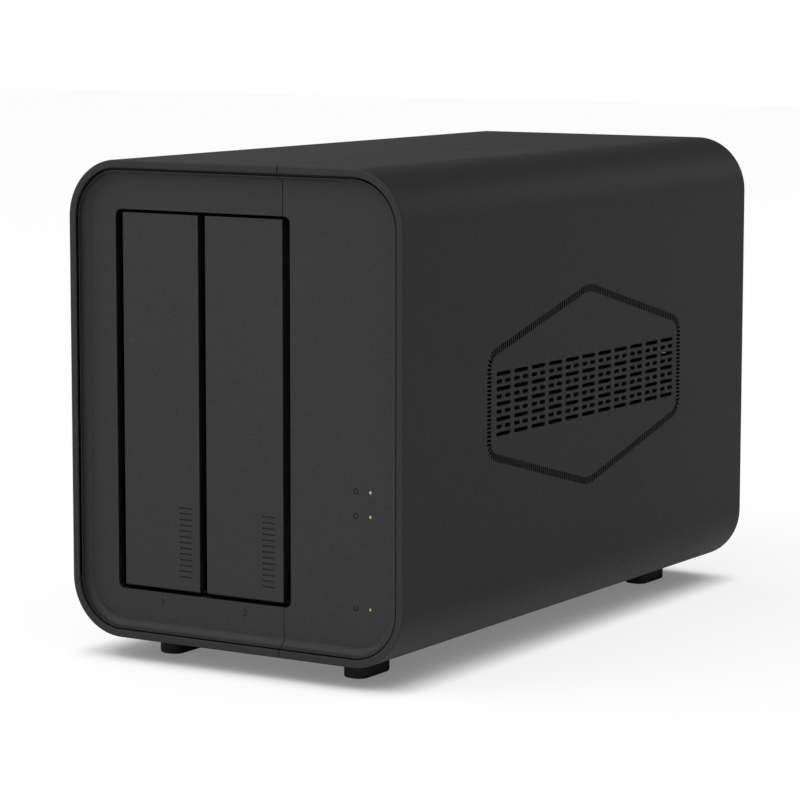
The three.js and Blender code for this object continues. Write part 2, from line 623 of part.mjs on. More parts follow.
// The whole tray face, hinged low down, with flanges behind it and a striker at the top.
function trayLever() {
  const half = 27.5 / 2;
  const bottom = BOTTOM + 15.9;
  const top = BOTTOM + 129.65;
  const back = FACE + 2.2;
  const flangeY = [FACE + 2, FACE + 6.6];
  const faceOutline = polygon([ // y, z
    [FACE, bottom + 0.45], [FACE + 0.45, bottom], [back, bottom], [back, top], [FACE, top],
  ]);
  const parts = [
    prismX(faceOutline, [-half, half]),
    box([-half, -half + 1.4], flangeY, [31, top]),
    box([half - 1.4, half], flangeY, [31, top]),
    box([-half, half], flangeY, [top - 1.4, top]),
    box([-half, half], [FACE + 2, FACE + 5], [74, 75.4]), // middle rib
    hingeRod(2.5, [-10.2, 10.2], 14),
    box([-3, 3], [FACE + 2, FACE + 3.8], [126, 132]), // striker
  ];
  return cut(join(parts), [
    hingeRod(1.05, [-12.95, 12.95], 12),
    hingeRod(2.15, [-12.95, -10.3], 14),
    hingeRod(2.15, [10.3, 12.95], 14),
  ]);
}
function trayLatch() {
  return join([
    box([-2.9, 2.9], [-102.9, -94.8], [126.1, 131.9]),
    box([-3.9, 3.9], [-95.9, -94.6], [125.1, 129.8]),
  ]);
}
// Lower tool-free clip with pins in the drive's side holes.
function trayClip() {
  const pins = DRIVE_HOLE_Y.map((y) => rodZ(DRIVE_HOLE_X, y, 1.4, [25.5, 31.2], 8));
  return join([box([-9, 5], [-80, 45], [23, 25.8]), ...pins])
    .subtract(box([-3.5, 2.5], [-55, 5], [22.5, 24]));
}
function driveCasting() {
  const { left, y, z } = DRIVE;
  const holes = [
    // platter bay under the cover
    prismX(roundRect([y[0] + 5, y[1] - 9], grow(z, -4), 6), [0.4, 14]),
    box([left - 1, left + 2.4], [-20, 52], [33, 125.6]), // board recess
    box([left - 1, left + 8.2], [43.4, 60], [36, 77]), // plug recess
    box([left - 1, left + 3], [-84, -40], [60, 98]), // thinner casting at the front end
  ];
  for (const holeY of DRIVE_HOLE_Y)
    for (const span of [[z[0] - 1, z[0] + 4], [z[1] - 4, z[1] + 1]])
      holes.push(rodZ(DRIVE_HOLE_X, holeY, 1.75, span, 8));
  return cut(prismX(roundRect(y, z, 2.5), [left, 12.1]), holes);
}
function driveCover() {
  const { y, z } = DRIVE;
  return join([
    prismX(roundRect(grow(y, -1), grow(z, -1), 3), [12.15, 13.0]),
    prismX(roundRect([y[0] + 8, y[1] - 22], grow(z, -5), 10), [12.9, 13.6], 2),
  ]);
}
// Circuit board with its plug.
function driveBoard() {
  const { left } = DRIVE;
  return join([
    box([left + 0.5, left + 2.1], [-18, 50], [35, 123.6]),
    box([left + 0.3, left + 5.2], [44, 49.6], [38, 75]),
    box([left + 3.9, left + 5.1], [49, 54.6], [40, 73]),
  ]);
}

// ---------- trays, each in its own group ----------
TRAY_X.forEach((x, i) => {
  const n = i + 1;
  const tray = new THREE.Group();
  tray.position.set(x, 0, 0);
  model.add(tray);
  add(`tray_${n}_frame`, trayFrame(), "dark", tray);
  add(`tray_${n}_lever`, trayLever(), "bezel", tray);
  add(`tray_${n}_hinge_pin`, hingeRod(0.9, [-12.7, 12.7], 12), "steel", tray);
  add(`tray_${n}_latch`, trayLatch(), "dark", tray);
  add(`tray_${n}_clip_lower`, trayClip(), "dark", tray);
  add(`tray_${n}_clip_upper`, mirrorUp(trayClip()), "dark", tray);
  add(`drive_${n}_casting`, driveCasting(), "aluminium", tray);
  add(`drive_${n}_cover`, driveCover(), "steel", tray);
  add(`drive_${n}_board`, driveBoard(), "board", tray);
});

export default model;
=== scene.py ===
# Two-bay network storage box: a rounded sleeve in two halves, dished front bezels with two
# tray levers, and a rear panel with a fan. It stands on four feet on the floor at z = 0,
# centred on x and y. The front faces -Y, its left side is -X and up is +Z.
# Shapes are in millimetres and become metres in new_object; materials, lights and the
# camera are in metres.
import math
from contextlib import contextmanager

import bmesh
import bpy
import numpy as np
from mathutils import Matrix, Vector


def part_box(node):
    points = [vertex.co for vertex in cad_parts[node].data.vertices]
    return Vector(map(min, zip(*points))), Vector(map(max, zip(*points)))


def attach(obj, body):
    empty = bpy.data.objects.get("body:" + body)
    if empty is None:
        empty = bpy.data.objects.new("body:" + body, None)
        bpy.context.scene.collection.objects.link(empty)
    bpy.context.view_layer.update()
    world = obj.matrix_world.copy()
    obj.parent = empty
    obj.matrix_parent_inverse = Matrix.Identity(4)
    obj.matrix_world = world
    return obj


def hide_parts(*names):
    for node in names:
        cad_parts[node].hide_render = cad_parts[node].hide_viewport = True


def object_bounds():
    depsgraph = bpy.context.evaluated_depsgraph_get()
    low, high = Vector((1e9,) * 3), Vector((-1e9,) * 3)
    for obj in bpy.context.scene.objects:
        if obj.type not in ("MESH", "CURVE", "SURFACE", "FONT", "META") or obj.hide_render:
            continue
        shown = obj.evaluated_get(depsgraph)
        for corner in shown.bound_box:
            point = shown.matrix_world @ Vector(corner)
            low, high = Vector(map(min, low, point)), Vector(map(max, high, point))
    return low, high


MM = 0.001

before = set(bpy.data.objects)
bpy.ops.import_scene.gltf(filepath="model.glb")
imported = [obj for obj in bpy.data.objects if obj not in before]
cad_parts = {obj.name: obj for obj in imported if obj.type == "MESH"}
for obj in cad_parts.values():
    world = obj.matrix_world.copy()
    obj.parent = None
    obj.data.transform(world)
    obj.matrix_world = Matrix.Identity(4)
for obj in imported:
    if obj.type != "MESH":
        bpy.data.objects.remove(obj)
cad_box = [list(map(float, corner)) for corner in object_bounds()]


def box_mm(node):
    """Low and high corners of a frame node."""
    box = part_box(node)
    return [v * 1000 for v in box[0]], [v * 1000 for v in box[1]]


def centre(node):
    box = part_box(node)
    return [(low + high) * 500 for low, high in zip(box[0], box[1])]


# ------------------------------------------------------------------ main measures
cad_low, cad_high = Vector(cad_box[0]), Vector(cad_box[1])
WIDTH = (cad_high.x - cad_low.x) * 1000
DEPTH = (cad_high.y - cad_low.y) * 1000
TOP = cad_high.z * 1000
BOTTOM = box_mm("left_shell")[0][2]
MID_Z = (BOTTOM + TOP) / 2
FRONT, BACK = -DEPTH / 2, DEPTH / 2
CORNER = 17.7           # outer radius of the sleeve
WALL = 2.4              # sleeve thickness
FACE = FRONT + 3.0      # the bezel face, set back from the sleeve's front edge
SEAM = 16.4             # x of the joint between the left and right halves
LIGHTS_X = 46.5
NETWORK_Z, DISK_Z, POWER_Z = BOTTOM + 51.7, BOTTOM + 44.5, BOTTOM + 17.2
LIGHTS_Z = (NETWORK_Z, DISK_Z, POWER_Z)
FAN_X = centre("fan_frame")[0]
BAYS = (1, 2)


# ------------------------------------------------------------------ outlines and solids
# An outline is a list of 2D points; a solid is a pair (vertices, faces).
def rect(a0, a1, b0, b1):
    return [(a0, b0), (a1, b0), (a1, b1), (a0, b1)]


def rounded(a0, a1, b0, b1, radius, steps):
    """Rectangle with round corners of so many steps each."""
    corners = ((a1 - radius, b0 + radius, -90), (a1 - radius, b1 - radius, 0),
               (a0 + radius, b1 - radius, 90), (a0 + radius, b0 + radius, 180))
    points = []
    for ca, cb, start in corners:
        for i in range(steps + 1):
            angle = math.radians(start + 90 * i / steps)
            points.append((ca + radius * math.cos(angle), cb + radius * math.sin(angle)))
    return points


def ellipse(ca, cb, radius_a, radius_b, count, start=0.0):
    angles = [start + 2 * math.pi * i / count for i in range(count)]
    return [(ca + radius_a * math.cos(t), cb + radius_b * math.sin(t)) for t in angles]


def circle(ca, cb, radius, count, start=0.0):
    return ellipse(ca, cb, radius, radius, count, start)


def outline(inset):
    """The sleeve's outer outline in x and z, moved inwards."""
    return rounded(-WIDTH / 2 + inset, WIDTH / 2 - inset, BOTTOM + inset, TOP - inset,
                   CORNER - inset, 20)


def at_y(points, y):
    return [(x, y, z) for x, z in points]


def at_x(points, x):
    return [(x, y, z) for y, z in points]


def loft(loops, closed=False):
    """Tube through loops of equal length; closed joins last to first, else the ends are capped."""
    size, count = len(loops[0]), len(loops)
    verts = [p for loop in loops for p in loop]
    faces = []
    for i in range(count if closed else count - 1):
        a, b = i * size, ((i + 1) % count) * size
        for j in range(size):
            k = (j + 1) % size
            faces.append((a + j, a + k, b + k, b + j))
    if not closed:
        faces.append(tuple(range(size))[::-1])
        faces.append(tuple(range((count - 1) * size, count * size)))
    return verts, faces


def prism_y(points, y0, y1):
    return loft([at_y(points, y0), at_y(points, y1)])


def prism_x(points, x0, x1):
    return loft([at_x(points, x0), at_x(points, x1)])


def block(x0, x1, y0, y1, z0, z1):
    return prism_y(rect(x0, x1, z0, z1), y0, y1)


def ring(cx, cz, inner, outer, y0, y1, start=0, end=360, steps=20):
    """Flat ring about an axis along y, or an arc of one; angles in degrees."""
    full = end - start >= 360
    loops = []
    for i in range(steps if full else steps + 1):
        angle = math.radians(start + (end - start) * i / steps)
        c, s = math.cos(angle), math.sin(angle)
        section = ((inner, y0), (outer, y0), (outer, y1), (inner, y1))
        loops.append([(cx + r * c, y, cz + r * s) for r, y in section])
    return loft(loops, closed=full)


def lathe_x(cy, cz, profile, count, lobed=()):
    """Body turned about an axis along x; profile is (radius, x), lobed lists six-lobed rows."""
    loops = []
    for k, (radius, x) in enumerate(profile):
        row = []
        for i in range(count):
            angle = 2 * math.pi * i / count
            r = radius * (1 + 0.12 * math.cos(6 * angle)) if k in lobed else radius
            row.append((x, cy + r * math.cos(angle), cz + r * math.sin(angle)))
        loops.append(row)
    return loft(loops)


def merge(solids):
    verts, faces = [], []
    for part_verts, part_faces in solids:
        offset = len(verts)
        verts += part_verts
        faces += [tuple(i + offset for i in face) for face in part_faces]
    return verts, faces


# ------------------------------------------------------------------ mesh tools
@contextmanager
def editing(mesh):
    bm = bmesh.new()
    bm.from_mesh(mesh)
    yield bm
    bm.to_mesh(mesh)
    bm.free()


def link_object(name, data):
    ob = bpy.data.objects.new(name, data)
    bpy.context.scene.collection.objects.link(ob)
    return ob


def new_object(name, verts, faces):
    mesh = bpy.data.meshes.new(name)
    mesh.from_pydata([(x * MM, y * MM, z * MM) for x, y, z in verts], [], faces)
    ob = link_object(name, mesh)
    with editing(mesh) as bm:
        bmesh.ops.recalc_face_normals(bm, faces=bm.faces)
    return ob


def evaluated_mesh(ob):
    graph = bpy.context.evaluated_depsgraph_get()
    return bpy.data.meshes.new_from_object(ob.evaluated_get(graph))


def cut(ob, solids, operation="DIFFERENCE"):
    """Apply one boolean with all the solids together."""
    cutter = new_object("cutter", *merge(solids))
    modifier = ob.modifiers.new("cut", "BOOLEAN")
    modifier.operation = operation
    modifier.object = cutter
    modifier.solver = "MANIFOLD"
    mesh = evaluated_mesh(ob)
    ob.modifiers.clear()
    old = ob.data
    ob.data = mesh
    bpy.data.meshes.remove(old)
    bpy.data.objects.remove(cutter)


def keep_half(ob, side, gap, back):
    """Keep what lies left (-1) or right (1) of the seam, less the gap."""
    edge = SEAM + side * gap
    x0, x1 = (-WIDTH, edge) if side < 0 else (edge, WIDTH)
    cut(ob, [block(x0, x1, FRONT - 5, back, -20, 220)], "INTERSECT")


def shade(ob, crease):
    """Exact normals on faces square to an axis, smooth ones elsewhere, creases above the angle."""
    mesh = ob.data
    with editing(mesh) as bm:
        bmesh.ops.remove_doubles(bm, verts=bm.verts, dist=1e-6)
        bmesh.ops.dissolve_degenerate(bm, edges=bm.edges, dist=1e-7)
    count = len(mesh.polygons)
    normals = np.empty(count * 3)
    mesh.polygons.foreach_get("normal", normals)
    normals = normals.reshape(-1, 3)
    areas = np.empty(count)
    mesh.polygons.foreach_get("area", areas)
    flat = np.abs(normals).max(1) > 0.99995
    around = [[] for _ in mesh.vertices]
    for face in mesh.polygons:
        for vertex in face.vertices:
            around[vertex].append(face.index)
    limit = math.cos(math.radians(crease))
    result = []
    for face in mesh.polygons:
        own = normals[face.index]
        if flat[face.index]:
            result += [tuple(own)] * face.loop_total
            continue
        for vertex in face.vertices:
            near = [q for q in around[vertex] if float(normals[q] @ own) > limit]
            planar = [q for q in near if flat[q] and float(normals[q] @ own) > 0.97]
            if planar:
                result.append(tuple(normals[planar[0]]))
            else:
                total = (normals[near] * areas[near][:, None]).sum(0) if near else own
                result.append(tuple(total / (np.linalg.norm(total) or 1)))
    mesh.polygons.foreach_set("use_smooth", [True] * count)
    mesh.normals_split_custom_set(result)
    mesh.update()


def bevel(ob, width):
    """Round every edge sharper than 40 degrees, in the mesh itself."""
    with editing(ob.data) as bm:
        bmesh.ops.remove_doubles(bm, verts=bm.verts, dist=1e-6)
        bmesh.ops.dissolve_limit(bm, angle_limit=math.radians(0.5), verts=bm.verts,
                                 edges=bm.edges)
        edges = [e for e in bm.edges
                 if len(e.link_faces) == 2 and e.calc_face_angle(0) > math.radians(40)]
        bmesh.ops.bevel(bm, geom=edges, offset=width * MM, segments=2, profile=0.5,
                        affect="EDGES", clamp_overlap=True)
        bmesh.ops.triangulate(bm, faces=[f for f in bm.faces if len(f.verts) > 4])


# ------------------------------------------------------------------ node tools
class NodeTree:
    def __init__(self, tree):
        self.tree = tree

    def feed(self, socket, value):
        """Link a socket into an input, or set the input to a plain value."""
        if isinstance(value, bpy.types.NodeSocket):
            self.tree.links.new(value, socket)
        else:
            socket.default_value = value

    def add(self, kind, inputs=None, **settings):
        node = self.tree.nodes.new("ShaderNode" + kind)
        for key, value in settings.items():
            setattr(node, key, value)
        for key, value in (inputs or {}).items():
            self.feed(node.inputs[key], value)
        return node

    def math(self, operation, a, b):
        return self.add("Math", {0: a, 1: b}, operation=operation).outputs[0]

    def separate(self, vector):
        return self.add("SeparateXYZ", {"Vector": vector}).outputs


class Material(NodeTree):
    def __init__(self, name):
        self.material = bpy.data.materials.new(name)
        self.material.use_nodes = True
        super().__init__(self.material.node_tree)
        self.shader = self.tree.nodes["Principled BSDF"]

    def surface(self, inputs):
        for key, value in inputs.items():
            self.feed(self.shader.inputs[key], value)

    def coords(self, scale=(1, 1, 1)):
        place = self.add("TexCoord").outputs["Object"]
        return self.add("Mapping", {"Scale": scale, "Vector": place}).outputs[0]

    def noise(self, vector, scale, detail=3.0, roughness=0.55):
        node = self.add("TexNoise", {"Scale": scale, "Detail": detail,
                                     "Roughness": roughness, "Vector": vector})
        return node.outputs["Fac"]

    def ramp(self, source, *stops):
        """Colour ramp; a stop is (position, colour), and a plain number is a grey."""
        node = self.add("ValToRGB", {"Fac": source})
        elements = node.color_ramp.elements
        while len(elements) < len(stops):
            elements.new(0.5)
        for element, (position, color) in zip(elements, stops):
            element.position = position
            element.color = (*((color,) * 3 if isinstance(color, float) else color), 1)
        return node.outputs[0]

    def remap(self, source, from_min, from_max, to_min, to_max):
        node = self.add("MapRange", {"From Min": from_min, "From Max": from_max,
                                     "To Min": to_min, "To Max": to_max, "Value": source})
        return node.outputs["Result"]

    def mix(self, factor, first, second, blend="MIX"):
        node = self.add("Mix", data_type="RGBA", blend_type=blend)
        for key, value in ((0, factor), (6, first), (7, second)):
            self.feed(node.inputs[key], value)
        return node.outputs[2]

    def bump(self, height, strength, distance, under=None):
        """Bump the surface; under is an earlier bump that this one goes on top of."""
        inputs = {"Strength": strength, "Distance": distance, "Height": height}
        if under:
            inputs["Normal"] = under
        normal = self.add("Bump", inputs).outputs["Normal"]
        self.surface({"Normal": normal})
        return normal


def scaled(color, factor):
    return tuple(min(1, c * factor) for c in color)


# ------------------------------------------------------------------ materials
def grained_plastic(name, color, roughness, grain, specular=0.40, wear=0.25, gap_shade=False):
    """Black moulded plastic: fine pits, a coarser mottle and slightly paler edges.

    wear is how far edges pale; the gap flag darkens the walls of each narrow gap with painted
    shade.
    """
    m = Material(name)
    place = m.coords()
    fine = m.noise(place, scale=2300, detail=2.0, roughness=0.6)
    mottle = m.noise(place, scale=900, detail=2.0, roughness=0.5)
    broad = m.noise(place, scale=14, detail=3.0, roughness=0.5)
    base = m.ramp(fine, (0.35, scaled(color, 0.90)), (0.65, scaled(color, 1.12)))
    base = m.mix(1.0, base, m.ramp(broad, (0.3, 0.93), (0.7, 1.05)), "MULTIPLY")
    base = m.mix(1.0, base, m.ramp(mottle, (0.36, 0.86), (0.64, 1.14)), "MULTIPLY")
    # an edge is where the rounded normal leaves the true one
    true_normal = m.add("NewGeometry").outputs["Normal"]
    rounded_normal = m.add("Bevel", {"Radius": 0.0006}, samples=6).outputs[0]
    agreement = m.add("VectorMath", {0: rounded_normal, 1: true_normal},
                      operation="DOT_PRODUCT").outputs["Value"]
    edge = m.remap(agreement, from_min=0.995, from_max=0.90, to_min=0.0, to_max=wear)
    base = m.mix(edge, base, (*scaled(color, 1.7), 1))
    m.surface({"Roughness": m.remap(mottle, 0.3, 0.7, roughness - 0.05, roughness + 0.06),
               "Specular IOR Level": specular})
    if gap_shade:
        # painted shade: ambient occlusion dims the colour and the specular in a narrow gap
        openness = m.add("AmbientOcclusion", {"Distance": 0.004}, samples=8).outputs["AO"]
        light = m.remap(openness, from_min=0.50, from_max=0.92, to_min=0.25, to_max=1.0)
        base = m.mix(1.0, base, light, "MULTIPLY")
        m.surface({"Specular IOR Level": m.math("MULTIPLY", light, specular)})
    m.surface({"Base Color": base})
    coarse_bump = m.bump(mottle, strength=0.6 * grain, distance=0.00028)
    m.bump(fine, strength=0.7 * grain, distance=0.00012, under=coarse_bump)
    return m.material


def satin_plastic(name, color, roughness=0.42, specular=0.5):
    m = Material(name)
    place = m.coords()
    fine = m.noise(place, scale=700)
    broad = m.noise(place, scale=30, detail=2)
    m.surface({
        "Base Color": m.ramp(broad, (0.3, scaled(color, 0.85)), (0.7, scaled(color, 1.15))),
        "Roughness": m.remap(fine, 0.3, 0.7, roughness - 0.05, roughness + 0.08),
        "Specular IOR Level": specular})
    m.bump(fine, strength=0.15, distance=0.0001)
    return m.material


def rubber(name):
    m = Material(name)
    place = m.coords()
    fine = m.noise(place, scale=1500)
    broad = m.noise(place, scale=90)
    m.surface({"Base Color": m.ramp(broad, (0.3, 0.010), (0.75, 0.022)),
               "Roughness": 0.78, "Specular IOR Level": 0.35})
    m.bump(fine, strength=0.35, distance=0.00012)
    return m.material


def powder_coat(name, color):
    m = Material(name)
    fine = m.noise(m.coords(), scale=1300, detail=2)
    m.surface({
        "Base Color": m.ramp(fine, (0.3, scaled(color, 0.8)), (0.7, scaled(color, 1.25))),
        "Roughness": 0.5, "Metallic": 0.15})
    m.bump(fine, strength=0.4, distance=0.00015)
    return m.material


def metal(name, color, roughness, stretch=(1, 1, 1), scale=600, bump=0.12, dark_inside=False):
    """Metal with a grain, which stretch draws out; dark_inside dims all but the rear end."""
    m = Material(name)
    grain = m.noise(m.coords(stretch), scale=scale, detail=4, roughness=0.6)
    broad = m.noise(m.coords(), scale=45)
    base = m.ramp(broad, (0.3, scaled(color, 1 - 0.12)), (0.7, color))
    m.surface({"Metallic": 1.0,
               "Roughness": m.remap(grain, 0.3, 0.7, roughness - 0.1, roughness + 0.12)})
    m.bump(grain, strength=bump, distance=0.00015)
    if dark_inside:
        y = m.separate(m.add("NewGeometry").outputs["Position"])["Y"]
        rear_end = m.remap(y, from_min=0.1068, from_max=0.1076, to_min=0.0, to_max=1.0)
        base = m.mix(rear_end, (0.05, 0.05, 0.052, 1), base)
    m.surface({"Base Color": base})
    return m.material


def circuit_board(name, axis, above, below):
    """Green board with tracks; whatever is beyond above or below along the axis turns black."""
    m = Material(name)
    place = m.separate(m.coords())
    tracks = m.add("TexBrick", {"Scale": 170, "Mortar Size": 0.035,
                                "Color1": (0.006, 0.050, 0.024, 1),
                                "Color2": (0.010, 0.070, 0.034, 1),
                                "Mortar": (0.025, 0.14, 0.07, 1)})
    across = "Y" if axis == "X" else "X"
    in_plane = m.add("CombineXYZ", {"X": place[across], "Y": place["Z"]}).outputs[0]
    m.feed(tracks.inputs["Vector"], in_plane)
    spots = m.add("TexVoronoi", {"Scale": 260, "Vector": in_plane}).outputs["Distance"]
    dots = m.ramp(spots, (0.10, (0.55, 0.48, 0.30)), (0.14, 0.0))
    board = m.mix(0.7, tracks.outputs["Color"], dots, "LIGHTEN")
    over = m.math("GREATER_THAN", place[axis], above)
    under = m.math("LESS_THAN", place[axis], below)
    parts = m.math("MAXIMUM", over, under)
    m.surface({"Base Color": m.mix(parts, board, (0.012, 0.012, 0.013, 1)),
               "Roughness": 0.38})
    m.bump(tracks.outputs["Fac"], strength=0.2, distance=0.0001)
    return m.material


def glow(name, lit_before):
    """Light guide, lit green where y is less than lit_before, paler with height."""
    m = Material(name)
    place = m.separate(m.coords())
    lit = m.math("LESS_THAN", place["Y"], lit_before)
    height = m.remap(place["Z"], from_min=0.022, from_max=0.060, to_min=0.0, to_max=1.0)
    m.surface({
        "Base Color": (0.05, 0.08, 0.02, 1),
        "Emission Color": m.ramp(height, (0.05, (0.20, 0.42, 0.04)),
                                 (0.70, (0.28, 0.38, 0.08)), (0.95, (0.42, 0.48, 0.24))),
        "Emission Strength": m.remap(lit, 0, 1, 0.0, 1.0),
        "Roughness": 0.25})
    return m.material


def white_sweep(name):
    """White floor to the camera, its soft shadow part real, part painted; other rays see it
    plainer.
    """
    m = Material(name)
    m.tree.nodes.remove(m.shader)
    camera_ray = m.add("LightPath").outputs["Is Camera Ray"]
    color = m.mix(camera_ray, (0.80, 0.80, 0.80, 1), (0.25, 0.25, 0.25, 1))
    diffuse = m.add("BsdfDiffuse", {"Color": color}).outputs[0]
    # lifts the white for the camera, less so close to the feet: a painted contact shadow
    openness = m.add("AmbientOcclusion", {"Distance": 0.015}, samples=12).outputs["AO"]
    lift_color = m.remap(openness, from_min=0.35, from_max=0.90, to_min=0.20, to_max=0.80)
    lift = m.add("Emission", {"Strength": camera_ray, "Color": lift_color}).outputs[0]
    # light thrown up under the right-hand edge, a strip in x the camera does not see
    x = m.separate(m.coords())["X"]
    rise = m.remap(x, from_min=0.040, from_max=0.050, to_min=0.0, to_max=0.24)
    fall = m.remap(x, from_min=0.070, from_max=0.090, to_min=1.0, to_max=0.0)
    off_camera = m.math("SUBTRACT", 1.0, camera_ray)
    strip = m.math("MULTIPLY", m.math("MULTIPLY", rise, fall), off_camera)
    bounce = m.add("Emission", {"Strength": strip}).outputs[0]
    lifted = m.add("AddShader", {0: diffuse, 1: lift}).outputs[0]
    sweep = m.add("AddShader", {0: lifted, 1: bounce}).outputs[0]
    # the camera sees through the floor from below
    backfacing = m.add("NewGeometry").outputs["Backfacing"]
    from_below = m.math("MULTIPLY", backfacing, camera_ray)
    clear = m.add("BsdfTransparent").outputs[0]
    final = m.add("MixShader", {0: from_below, 1: sweep, 2: clear}).outputs[0]
    m.feed(m.tree.nodes["Material Output"].inputs["Surface"], final)
    return m.material


LOOKS = {
    "shell": grained_plastic("shell_black_grain", (0.0172, 0.0172, 0.0175),
                             roughness=0.61, grain=1.0, specular=0.38),
    "bezel": grained_plastic("bezel_black_grain", (0.0198, 0.0198, 0.0201),
                             roughness=0.58, grain=0.9),
    # lever and bay wall: painted shade darkens them inside narrow openings
    "lever": grained_plastic("lever_black_grain", (0.0208, 0.0208, 0.0211),
                             roughness=0.58, grain=0.75, gap_shade=True),
    "wall": grained_plastic("bay_wall_black_grain", (0.0185, 0.0185, 0.0188),
                            roughness=0.58, grain=0.75, wear=0.0, gap_shade=True),
    "rear": grained_plastic("rear_black_grain", (0.0170, 0.0170, 0.0173),
                            roughness=0.56, grain=0.8),
    # the tray's black, set darker to deepen the openings by the levers: part painted shade
    "tray": satin_plastic("tray_black_plastic", (0.004, 0.004, 0.0042),
                          roughness=0.55, specular=0.2),
    "inner": satin_plastic("inner_black_plastic", (0.011, 0.011, 0.012)),
    "socket": satin_plastic("socket_black_plastic", (0.016, 0.016, 0.017), roughness=0.35),
    "rubber": rubber("foot_rubber_black"),
    "cage": powder_coat("cage_powder_coat", (0.020, 0.021, 0.023)),
    "steel": metal("nickel_plated_steel", (0.62, 0.62, 0.63), roughness=0.30,
                   stretch=(1, 1, 14), scale=300),
    "port": metal("socket_shell_nickel", (0.55, 0.55, 0.56), roughness=0.32, scale=700,
                  dark_inside=True),
    "cover": metal("drive_cover_steel", (0.58, 0.59, 0.61), roughness=0.34,
                   stretch=(1, 18, 1), scale=350),
    "cast": metal("cast_aluminium_grey", (0.44, 0.45, 0.47), roughness=0.50, scale=900,
                  bump=0.5),
    "fins": metal("heatsink_black_anodised", (0.045, 0.046, 0.050), roughness=0.48,
                  stretch=(1, 12, 1), scale=400),
    "screw": metal("black_zinc_screw", (0.07, 0.07, 0.075), roughness=0.36, scale=1200,
                   bump=0.1),
    "light": glow("light_guide_lit", lit_before=FACE * MM + 0.0002),
    "mark": satin_plastic("printed_mark_dark", (0.0060, 0.0060, 0.0061),
                          roughness=0.7, specular=0.2),
    "label": satin_plastic("drive_label_paper", (0.72, 0.73, 0.72), roughness=0.6),
    "print": satin_plastic("drive_label_print", (0.02, 0.022, 0.03), roughness=0.6),
    "main_board": circuit_board("main_board_mask", "X", above=0.0297, below=0.0278),
    "backplane": circuit_board("backplane_mask", "Y", above=0.0657, below=0.0638),
    "indicators": circuit_board("indicator_board_mask", "Y", above=-0.0969, below=-0.0987),
}
for bay in BAYS:
    board = "drive_%d_board" % bay
    LOOKS[board] = circuit_board("drive_%d_mask" % bay, "X",
                                 above=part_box(board)[0][0] + 0.0019, below=-1.0)
LOOKS["floor"] = white_sweep("floor_white")


# ------------------------------------------------------------------ finishing a piece
def dress(ob, look):
    ob.data.materials.clear()
    ob.data.materials.append(LOOKS[look])


def register(ob, body, look):
    dress(ob, look)
    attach(ob, body)


def piece(ob, body, look, replaced=None, crease=38.0):
    shade(ob, crease)
    register(ob, body, look)
    if replaced:
        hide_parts(replaced)


def second_look(ob, look, chosen):
    """Give a second material to the faces whose centre (in mm) and normal are chosen."""
    ob.data.materials.append(LOOKS[look])
    for face in ob.data.polygons:
        if chosen(face.center * 1000, face.normal):
            face.material_index = 1


# ------------------------------------------------------------------ sleeve halves
# slanted hexagon of fine slots on each side: y, z from the middle, corner radius
HEX_CORNERS = [(62, 15, 5), (0, 31, 16), (-62, 15, 5),
               (-62, -15, 5), (0, -31, 16), (62, -15, 5)]
HEX_SLOT_PITCH, HEX_SLOT_LENGTH, HEX_SLOT_WIDTH = 1.26, 2.6, 0.80
UPRIGHT_BELOW = 14.6    # slots stand upright where the path slopes less than this, in degrees
LOUVRE_COLUMNS, LOUVRE_ROWS = 11, 9
LOUVRE_PITCH_Y, LOUVRE_PITCH_Z = 10.7, 2.28
LOUVRE_LENGTH, LOUVRE_WIDTH = 8.6, 1.25
HALF_DASH_LENGTH, HALF_DASH_OFFSET = 3.5, 2.55


def stadium(cy, cz, along_y, along_z, length, width):
    """Slot outline with its long side along the unit vector (along_y, along_z)."""
    radius, points = width / 2, []
    for end, start in ((1, -90), (-1, 90)):
        for i in range(4):
            angle = math.radians(start + 60 * i)
            u = end * (length / 2 - radius) + radius * math.cos(angle)
            v = radius * math.sin(angle)
            points.append((cy + u * along_y - v * along_z, cz + u * along_z + v * along_y))
    return points


def hexagon_path():
    """Closed centre line through the hexagon with its corners rounded."""
    path = []
    for i, (y, z, radius) in enumerate(HEX_CORNERS):
        corner = Vector((y, z))
        before, after = Vector(HEX_CORNERS[i - 1][:2]), Vector(HEX_CORNERS[(i + 1) % 6][:2])
        u, w = (before - corner).normalized(), (after - corner).normalized()
        half = math.acos(max(-1, min(1, u.dot(w)))) / 2
        reach = radius / math.tan(half)
        start, end = corner + u * reach, corner + w * reach
        middle = corner + (u + w).normalized() * (radius / math.sin(half))
        angle = math.atan2(start.y - middle.y, start.x - middle.x)
        last = math.atan2(end.y - middle.y, end.x - middle.x)
        turn = (last - angle + math.pi) % (2 * math.pi) - math.pi
        for k in range(9):
            t = angle + turn * k / 8
            path.append(middle + Vector((math.cos(t), math.sin(t))) * radius)
    path.append(path[0])
    return path


def hexagon_slots():
    path = hexagon_path()
    run = [0.0]
    for p, q in zip(path, path[1:]):
        run.append(run[-1] + (q - p).length)
    count = int(round(run[-1] / HEX_SLOT_PITCH))
    slots = []
    for k in range(count):
        s = run[-1] * k / count
        i = max(j for j in range(len(run) - 1) if run[j] <= s + 1e-9)
        point = path[i].lerp(path[i + 1], (s - run[i]) / (run[i + 1] - run[i]))
        heading = (path[i + 1] - path[i]).normalized()
        if heading.x < 0:
            heading = -heading
        # upright on the slanted sides, turning to lie flat on the vertical ones
        slope = math.degrees(math.atan2(heading.y, heading.x))
        share = max(0.0, (abs(slope) - UPRIGHT_BELOW) / (90 - UPRIGHT_BELOW))
        tilt = math.radians(math.copysign(share * 90, slope))
        slots.append(stadium(point.x, MID_Z + point.y, -math.sin(tilt), math.cos(tilt),
                             HEX_SLOT_LENGTH, HEX_SLOT_WIDTH))
    return slots


